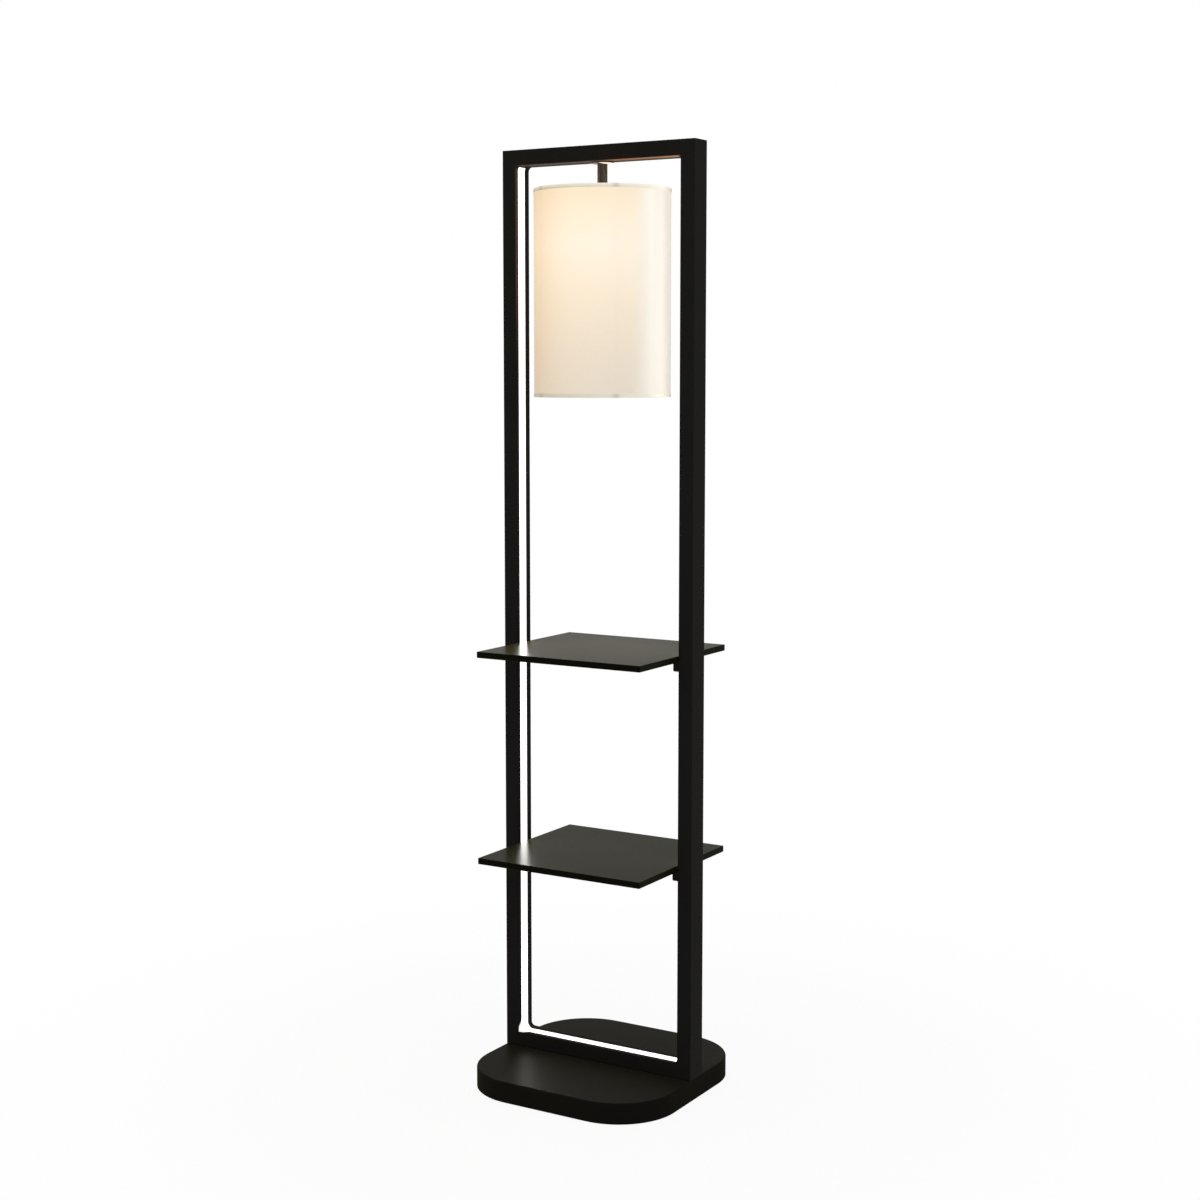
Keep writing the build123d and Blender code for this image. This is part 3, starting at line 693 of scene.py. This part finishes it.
def round_shell(bm, outside, inside, rows, steps):
    """A closed round shell. Outside and inside give (radius, height) at an angle and a share of the way up.

    The inside takes the second material.
    """
    walls = []
    for surface in (outside, inside):
        wall = []
        for row in range(rows + 1):
            ring = []
            for step in range(steps):
                angle = 2 * math.pi * step / steps
                radius, height = surface(angle, row / rows)
                ring.append(bm.verts.new((radius * math.cos(angle), radius * math.sin(angle), height)))
            wall.append(ring)
        walls.append(wall)
    outer, inner = walls
    for step in range(steps):
        after = (step + 1) % steps
        for row in range(rows):
            above = row + 1
            bm.faces.new((outer[row][step], outer[row][after], outer[above][after], outer[above][step]))
            lining = (inner[row][step], inner[above][step], inner[above][after], inner[row][after])
            bm.faces.new(lining).material_index = 1
        for row in (0, rows):
            bm.faces.new((outer[row][step], inner[row][step], inner[row][after], outer[row][after]))


def turned_band(bm, profile, steps, sway):
    """A closed band round Z from a closed profile of (radius, height, share of the sway's rise)."""
    rings = []
    for step in range(steps):
        angle = 2 * math.pi * step / steps
        out, up = sway(angle)
        rings.append(
            [
                bm.verts.new(((r + out) * math.cos(angle), (r + out) * math.sin(angle), z + up * share))
                for r, z, share in profile
            ]
        )
    count = len(profile)
    for step in range(steps):
        ring, following = rings[step], rings[(step + 1) % steps]
        for i in range(count):
            j = (i + 1) % count
            bm.faces.new((ring[i], following[i], following[j], ring[j]))


def rolled_thread(bm, bottom, top, growth):
    """A rolled round thread between two heights, fatter by growth, with plain ends."""
    skin = 0.0004
    depth = 0.00052
    run_out = 0.0022
    rows_a_turn = 14
    # The wave's crests stay just inside the cap's solid
    middle = cap_high.x - 0.0006
    length = top - bottom
    rows = int(length / thread_pitch * rows_a_turn)

    def outside(angle, share):
        height = bottom + share * length
        end = min(1.0, (height - bottom) / run_out, (top - height) / run_out)
        wave = math.cos(2 * math.pi * height / thread_pitch - angle)
        return middle + growth + depth * end * wave, height

    def inside(angle, share):
        radius, height = outside(angle, share)
        return radius - skin, height

    round_shell(bm, outside, inside, rows, 96)


def level_ring(bm, middle, radius, height, steps):
    """A level ring of points round an upright axis."""
    angles = [2 * math.pi * step / steps for step in range(steps)]
    return [
        bm.verts.new((middle[0] + radius * math.cos(angle), middle[1] + radius * math.sin(angle), height))
        for angle in angles
    ]


def round_peg(bm, middle, low_end, high_end, steps=24):
    """A closed shank or cone between two ends, each a (radius, height)."""
    low, high = [level_ring(bm, middle, radius, height, steps) for radius, height in (low_end, high_end)]
    for step in range(steps):
        after = (step + 1) % steps
        bm.faces.new((low[step], low[after], high[after], high[step]))
    bm.faces.new(low)
    bm.faces.new(high)


def screw_head(bm, at, radius, height, dome, recess, facing):
    """A cross-recessed screw head round Z at a point, facing up (1) or down (-1)."""
    rings, steps = 18, 48
    arm = 0.19 * radius
    reach = 0.62 * radius
    loops = []
    for ring in range(rings + 1):
        share = ring / rings
        loop = []
        for step in range(steps):
            angle = 2 * math.pi * step / steps
            x = share * radius * math.cos(angle)
            y = share * radius * math.sin(angle)
            crown = dome * (1 - share * share)
            narrow, wide = sorted((abs(x), abs(y)))
            inside = max(0.0, min(1.0, (arm - narrow) / (0.35 * arm) + 0.5))
            inside *= max(0.0, min(1.0, (reach - wide) / (0.25 * reach)))
            level = height + crown - inside * recess
            loop.append(bm.verts.new((at[0] + x, at[1] + y, at[2] + facing * level)))
            if ring == 0:
                break
        loops.append(loop)
    skirt = level_ring(bm, at, radius, at[2], steps)
    loops.append(skirt)
    for ring in range(1, len(loops)):
        inner, outer = loops[ring - 1], loops[ring]
        for step in range(steps):
            after = (step + 1) % steps
            if len(inner) == 1:
                bm.faces.new((inner[0], outer[step], outer[after]))
            else:
                bm.faces.new((inner[step], outer[step], outer[after], inner[after]))
    bm.faces.new(skirt)


def node_groups(name):
    """The boxes of a CAD node's separate solids, lowest and highest corner each."""
    bm = bmesh.new()
    bm.from_mesh(nodes[name].data)
    bmesh.ops.remove_doubles(bm, verts=bm.verts, dist=1e-6)
    seen = set()
    boxes = []
    for start in bm.verts:
        if start in seen:
            continue
        seen.add(start)
        queue = [start]
        corner_low = start.co.copy()
        corner_high = start.co.copy()
        while queue:
            vert = queue.pop()
            for axis in range(3):
                corner_low[axis] = min(corner_low[axis], vert.co[axis])
                corner_high[axis] = max(corner_high[axis], vert.co[axis])
            for edge in vert.link_edges:
                other = edge.other_vert(vert)
                if other not in seen:
                    seen.add(other)
                    queue.append(other)
        boxes.append((corner_low, corner_high))
    bm.free()
    return boxes


# Operators, one for each piece or group of like pieces


class LampFramePaint(bpy.types.Operator):
    """Paints the frame's members, the cleats and the base."""

    bl_idname = "lamp.frame_paint"
    bl_label = "Frame and base"

    def execute(self, context):
        looks = context.scene.lamp_frame
        paint = satin_paint("frame_black", looks.paint, looks.paint_gloss, 0.014, painted_light=painted_frame_light)
        dress(paint, *frame_members)
        dress(paint, "upper_left_cleat", "upper_right_cleat", "lower_left_cleat", "lower_right_cleat")
        matt = satin_paint(
            "base_black",
            looks.base_paint,
            looks.base_gloss,
            0.010,
            tint=(0.55, 0.53, 0.50),
            dulled=0.45,
            sheen=0.024,
        )
        dress(matt, "base_shell", "base_cover")
        return {"FINISHED"}


class LampShelves(bpy.types.Operator):
    """Faces both shelves with laminate."""

    bl_idname = "lamp.shelves"
    bl_label = "Shelves"

    def execute(self, context):
        looks = context.scene.lamp_frame
        laminate = shelf_laminate("shelf_black", looks.laminate, looks.laminate_gloss)
        dress(laminate, "upper_shelf", "lower_shelf")
        return {"FINISHED"}


class LampLightStrip(bpy.types.Operator):
    """Lights the frame's diffusers and finishes the strip and carriers behind them."""

    bl_idname = "lamp.light_strip"
    bl_label = "Light strip"

    def execute(self, context):
        lights = context.scene.lamp_lights
        opal = opal_lit("opal_diffuser", lights.strip, lights.strip_strength)
        dress(opal, "left_diffuser", "right_diffuser", "bottom_diffuser")
        dress(bare_metal("bare_aluminium", (0.80, 0.80, 0.82), 0.38), "left_carrier", "right_carrier")
        dress(bare_metal("aluminium_across", (0.80, 0.80, 0.82), 0.38, (0.06, 1.0, 1.0)), "bottom_carrier")
        dress(moulding("strip_white", (0.86, 0.86, 0.84), 0.5), "led_strip")
        return {"FINISHED"}


class LampHanger(bpy.types.Operator):
    """Finishes the tube that the shade hangs from, its flange and its fixings."""

    bl_idname = "lamp.hanger"
    bl_label = "Hanger"

    def execute(self, context):
        looks = context.scene.lamp_frame
        bronze = satin_paint("hanger_bronze", looks.bronze, 0.30, 0.20, painted_light=painted_flange_highlight)
        dress(bronze, "hanger_flange", "hanger_tube")
        zinc = bare_metal("zinc_hanger", (0.62, 0.62, 0.60), 0.36)
        dress(zinc, "hanger_nipple", "hanger_washer", "hanger_nut")
        return {"FINISHED"}


class LampHolder(bpy.types.Operator):
    """Finishes the lampholder, and rolls the thread of its brass shell."""

    bl_idname = "lamp.holder"
    bl_label = "Lampholder"

    def execute(self, context):
        black = moulding("holder_black", (0.012, 0.012, 0.012), 0.28, 900.0)
        brass = bare_metal("contact_brass", (0.78, 0.58, 0.27), 0.30)
        dress(black, "holder_cap", "holder_body", "shade_ring")
        dress(moulding("holder_ceramic", (0.80, 0.78, 0.73), 0.42, 700.0), "holder_insert")
        dress(brass, "centre_contact", "bulb_tip")
        bm = bmesh.new()
        rolled_thread(bm, shell_low.z, shell_high.z, 0.0003)
        mesh = finished_mesh("screw_shell_thread", bm)
        new_piece("screw_shell_thread", mesh, (brass, brass), "lamp", ["screw_shell"])
        return {"FINISHED"}


class LampShade(bpy.types.Operator):
    """Makes the shade's cloth, lining and hems, and finishes its wire frame."""

    bl_idname = "lamp.shade"
    bl_label = "Shade"

    def execute(self, context):
        looks = context.scene.lamp_shade
        lap = looks.overlap / shade_radius
        pull_depth = 0.00012

        def outside(angle, share):
            past = (angle - seam_angle) % (2 * math.pi)
            before = 2 * math.pi - past
            if before < lap:
                lift = min(1.0, (lap - before) / (0.15 * lap))
            else:
                lift = 0.3 * max(0.0, 1.0 - before / (3 * lap))
            pull = pull_depth * math.sin(strut_count * past) * math.sin(math.pi * share)
            radius = shade_radius + looks.seam_step * lift + pull
            return radius, shade_bottom + share * shade_height

        def inside(angle, share):
            return shade_radius - looks.skin, shade_bottom + share * shade_height

        bm = bmesh.new()
        round_shell(bm, outside, inside, looks.rows, looks.steps)
        cloth = new_piece(
            "shade_cloth",
            finished_mesh("shade_cloth", bm),
            (shade_linen(looks), shade_lining(looks)),
            "lamp",
            ["shade_drum"],
        )
        tape = hem_tape(looks)
        hems = [
            self.hem("shade_top_hem", "shade_top_binding", -1, tape),
            self.hem("shade_bottom_hem", "shade_bottom_binding", 1, tape),
        ]
        wire = satin_paint("fitter_wire", (0.72, 0.71, 0.68), 0.38, 0.5)
        dress(wire, "shade_fitter", "shade_bottom_ring", "shade_struts")
        return {"FINISHED"}

    def hem(self, name, node, inward, tape):
        """Folded tape over one edge of the shade: soft corners, and an edge that isn't quite straight."""
        low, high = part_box(node)
        rim = high.z if inward < 0 else low.z
        edge = rim + inward * (high.z - low.z)
        outer = high.x
        inner = shade_radius - 0.001
        cloth = shade_radius + 0.00004
        soft = 0.00035
        belly = 0.00012
        lift = inward * 0.0004
        profile = [
            (inner, rim + lift, 0.0),
            (inner, rim + inward * soft, 0.0),
            (inner + soft * 0.4, rim, 0.0),
            (outer - soft, rim, 0.0),
            (outer - soft * 0.3, rim + inward * soft * 0.3, 0.0),
            (outer, rim + inward * soft, 0.0),
            (outer + belly, rim + inward * 0.0022, 0.3),
            (outer, edge - inward * soft, 1.0),
            (outer - soft * 0.4, edge, 1.0),
            (cloth, edge, 1.0),
            (cloth, rim + lift, 0.0),
        ]

        def sway(angle):
            drift = math.sin(3 * angle + 0.7) * 0.5
            drift += math.sin(11 * angle) * 0.3
            drift += math.sin(23 * angle + 2) * 0.2
            pull = max(0.0, math.cos(strut_count * (angle - seam_angle))) ** 24
            return 0.0001 * drift + 0.0003 * pull, 0.00025 * drift

        bm = bmesh.new()
        turned_band(bm, profile, 360, sway)
        return new_piece(name, finished_mesh(name, bm, 55.0), (tape,), "lamp", [node])


class LampBulb(bpy.types.Operator):
    """Lights the bulb's globe, and rolls the thread of its cap."""

    bl_idname = "lamp.bulb"
    bl_label = "Bulb"

    def execute(self, context):
        lights = context.scene.lamp_lights
        dress(opal_lit("bulb_opal", lights.bulb, lights.bulb_strength), "bulb_globe")
        dress(moulding("bulb_white", (0.82, 0.82, 0.80), 0.30), "bulb_housing")
        dress(moulding("bulb_insulator_black", (0.012, 0.012, 0.014), 0.22), "bulb_insulator")
        nickel = bare_metal("bulb_nickel", (0.66, 0.65, 0.62), 0.24)
        bm = bmesh.new()
        rolled_thread(bm, cap_low.z, cap_high.z, 0.0)
        mesh = finished_mesh("bulb_cap_thread", bm)
        new_piece("bulb_cap_thread", mesh, (nickel, nickel), "bulb", ["bulb_cap"])
        return {"FINISHED"}


class LampBaseFittings(bpy.types.Operator):
    """Finishes what is under and inside the base, and cuts the cross recesses of the screws that show."""

    bl_idname = "lamp.base_fittings"
    bl_label = "Base fittings and screws"

    def execute(self, context):
        zinc = bare_metal("zinc_steel", (0.62, 0.62, 0.60), 0.34)
        dress(zinc, "cover_posts", "ballast_screws", "frame_bolts", "frame_nuts")
        dress(cast_metal("ballast_iron", (0.12, 0.115, 0.11)), "ballast_plate")
        rubber = moulding("foot_rubber", (0.014, 0.014, 0.014), 0.75, 900.0, 0.25)
        dress(rubber, "rubber_feet", "lead_grommets")
        dress(moulding("inlet_nylon", (0.014, 0.014, 0.014), 0.42), "cord_inlet")
        dress(moulding("case_white", (0.78, 0.78, 0.75), 0.5), "led_driver")
        dress(moulding("terminal_plastic", (0.70, 0.70, 0.65), 0.5), "terminal_block")
        dress(moulding("lead_sheath", (0.02, 0.02, 0.02), 0.5), "lamp_lead", "strip_lead")
        self.cover_screws(zinc)
        self.shelf_screws(zinc)
        return {"FINISHED"}

    def cover_screws(self, zinc):
        """Round heads under the base cover, with their shanks."""
        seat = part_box("base_cover")[0].z
        bm = bmesh.new()
        for low, high in node_groups("cover_screws"):
            at = ((low.x + high.x) / 2, (low.y + high.y) / 2, seat)
            radius = (high.x - low.x) / 2
            height = seat - low.z
            screw_head(bm, at, radius, height * 0.55, height * 0.45, height * 0.6, -1)
            round_peg(bm, at, (radius / 1.8, seat), (radius / 1.8, high.z))
        mesh = finished_mesh("cover_screw_heads", bm, 30.0)
        new_piece("cover_screw_heads", mesh, (zinc,), "lamp", ["cover_screws"])

    def shelf_screws(self, zinc):
        """Countersunk heads in the cleats' undersides, with their shanks."""
        rim = 0.0003
        cone = 0.002
        recess = 0.0011
        bm = bmesh.new()
        for low, high in node_groups("shelf_screws"):
            middle = ((low.x + high.x) / 2, (low.y + high.y) / 2)
            radius = (high.x - low.x) / 2
            seat = low.z + rim
            neck = low.z + cone
            screw_head(bm, (*middle, seat), radius, rim, 0.0, recess, -1)
            round_peg(bm, middle, (radius, seat), (radius / 2, neck), 32)
            round_peg(bm, middle, (radius / 2, neck), (radius / 2, high.z))
        mesh = finished_mesh("shelf_screw_heads", bm, 30.0)
        new_piece("shelf_screw_heads", mesh, (zinc,), "lamp", ["shelf_screws"])


class LampStage(bpy.types.Operator):
    """Sets the pale floor, the soft light and the camera."""

    bl_idname = "lamp.stage"
    bl_label = "Stage"

    def execute(self, context):
        looks = context.scene.lamp_stage
        context.scene.view_settings.view_transform = "Standard"
        self.floor(looks)
        self.sky(context.scene, looks)
        up = (0.0, 0.0, 1.0)
        across = (1.0, 0.0, 0.0)
        aim = Vector((0.0, 0.0, 1.0))
        key = Vector((2.6, -1.8, 2.2))
        fill = Vector((-2.6, -2.2, 1.8))
        self.area_light("key_light", key, aim - key, up, (1.6, 1.6), looks.key_power, (1.0, 1.0, 1.0))
        self.area_light("fill_light", fill, aim - fill, up, (2.0, 2.0), looks.fill_power, looks.fill)
        self.strip_light("left_diffuser", (1.0, 0.0, 0.0), up, looks)
        self.strip_light("right_diffuser", (-1.0, 0.0, 0.0), up, looks)
        self.strip_light("bottom_diffuser", up, across, looks)
        self.camera(context.scene, looks)
        return {"FINISHED"}

    def floor(self, looks):
        """A wide pale floor that shows near white to the camera and keeps the lamp's shadow."""
        half_width = 30.0
        shadow_from, shadow_to = 0.2, 1.3
        least_white = 0.93
        bm = bmesh.new()
        bmesh.ops.create_grid(bm, x_segments=1, y_segments=1, size=half_width)
        mesh = bpy.data.meshes.new("floor")
        bm.to_mesh(mesh)
        bm.free()
        finish = Finish("floor_pale")
        at = finish.place()
        away = finish.add("ShaderNodeVectorMath", {"operation": "LENGTH"}, {0: at}, output="Value")
        fade = finish.ramp(away, shadow_from, shadow_to, least_white, 1.0)
        shown = finish.seen_by("Camera", "Glossy") * fade
        white = finish.add("ShaderNodeEmission", inputs={"Color": (1.0, 1.0, 1.0), "Strength": 1.0})
        pale = Wire(finish, finish.shader.outputs[0])
        finish.surface(base_color=looks.floor, roughness=0.9, specular_ior_level=0.1)
        mixed = finish.add("ShaderNodeMixShader", inputs={0: shown, 1: pale, 2: white})
        finish.plug(finish.tree.nodes["Material Output"], {"Surface": mixed})
        mesh.materials.append(finish.material)
        floor = bpy.data.objects.new("floor", mesh)
        bpy.context.scene.collection.objects.link(floor)

    def sky(self, scene, looks):
        """Soft light all round, and plain white where the camera, a mirror or glass shows it."""
        world = bpy.data.worlds.new("studio")
        scene.world = world
        world.use_nodes = True
        maker = NodeMaker(world.node_tree)
        shown = maker.seen_by("Camera", "Glossy", "Transmission")
        strength = looks.sky + shown * (1 - looks.sky)
        maker.plug(maker.tree.nodes["Background"], {"Color": (1.0, 1.0, 1.0), "Strength": strength})

    def area_light(self, name, at, facing, along, size, power, colour):
        """A flat lamp of (width, length) that shines one way, with its length along another."""
        data = bpy.data.lights.new(name, "AREA")
        data.shape = "RECTANGLE"
        data.color = colour
        data.size, data.size_y = size
        data.energy = power
        light = bpy.data.objects.new(name, data)
        light.location = at
        back = -Vector(facing).normalized()
        long_way = Vector(along)
        long_way = (long_way - back * long_way.dot(back)).normalized()
        light.rotation_euler = Matrix((long_way.cross(back), long_way, back)).transposed().to_euler()
        light.visible_camera = False
        bpy.context.scene.collection.objects.link(light)
        return light

    def strip_light(self, node, facing, along, looks):
        """Thin lamps just in front of a diffuser: one for the light it casts, one for its reflections.

        The second stands further out, because lamps at one place hide each other.
        """
        low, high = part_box(node)
        facing = Vector(facing)
        size = high - low
        face = (low + high) / 2 + facing * (abs(size.dot(facing)) / 2 - slot_depth)
        length = max(size)
        lamp_size = (0.022, length * 0.98)
        colour = bpy.context.scene.lamp_lights.strip
        uses = (("cast", 0.0003, looks.strip_power), ("shine", 0.0006, looks.shine_power))
        for use, gap, power in uses:
            at = face + facing * gap
            light = self.area_light(f"{node}_{use}", at, facing, along, lamp_size, power * length, colour)
            light.visible_glossy = use == "shine"
            light.visible_diffuse = use == "cast"
            light.light_linking.receiver_collection = self.receivers()

    def receivers(self):
        """What the strips' lamps light: all but the frame's channels, whose folds lie too close to them."""
        name = "lit_by_strips"
        if name not in bpy.data.collections:
            made = bpy.data.collections.new(name)
            for key, node in nodes.items():
                if key not in frame_members:
                    made.objects.link(node)
            for key in ("shade_cloth", "shade_top_hem", "shade_bottom_hem", "floor"):
                made.objects.link(bpy.data.objects[key])
        return bpy.data.collections[name]

    def camera(self, scene, looks):
        """The camera at the photograph's angle."""
        data = bpy.data.cameras.new("camera")
        data.lens = looks.lens
        data.sensor_width = 36.0
        data.shift_y = looks.drop
        data.clip_end = 100.0
        camera = bpy.data.objects.new("camera", data)
        camera.location = looks.place
        camera.rotation_euler = (math.pi / 2 - looks.tilt, 0.0, looks.turn)
        scene.collection.objects.link(camera)
        scene.camera = camera


groups = {
    "lamp_frame": LampFrameLooks,
    "lamp_lights": LampLightLooks,
    "lamp_shade": LampShadeLooks,
    "lamp_stage": LampStageLooks,
}
operators = (
    LampFramePaint,
    LampShelves,
    LampLightStrip,
    LampHanger,
    LampHolder,
    LampShade,
    LampBulb,
    LampBaseFittings,
    LampStage,
)


class LampPanel(bpy.types.Panel):
    """Lists the lamp's settings and its steps."""

    bl_idname = "VIEW3D_PT_lamp"
    bl_label = "Shelf floor lamp"
    bl_space_type = "VIEW_3D"
    bl_region_type = "UI"
    bl_category = "Lamp"

    def draw(self, context):
        for attribute, group in groups.items():
            box = self.layout.box()
            for name in group.__annotations__:
                box.prop(getattr(context.scene, attribute), name)
        for operator in operators:
            self.layout.operator(operator.bl_idname)


def register():
    """Registers the settings, the operators and the panel."""
    for attribute, group in groups.items():
        bpy.utils.register_class(group)
        setattr(bpy.types.Scene, attribute, PointerProperty(type=group))
    for operator in operators:
        bpy.utils.register_class(operator)
    bpy.utils.register_class(LampPanel)


def unregister():
    """Takes them all out again."""
    bpy.utils.unregister_class(LampPanel)
    for operator in reversed(operators):
        bpy.utils.unregister_class(operator)
    for attribute, group in reversed(groups.items()):
        delattr(bpy.types.Scene, attribute)
        bpy.utils.unregister_class(group)


def main():
    """Dresses the lamp step by step."""
    register()
    for operator in operators:
        family, name = operator.bl_idname.split(".")
        getattr(getattr(bpy.ops, family), name)()
    bpy.context.view_layer.update()


if __name__ == "__main__":
    main()
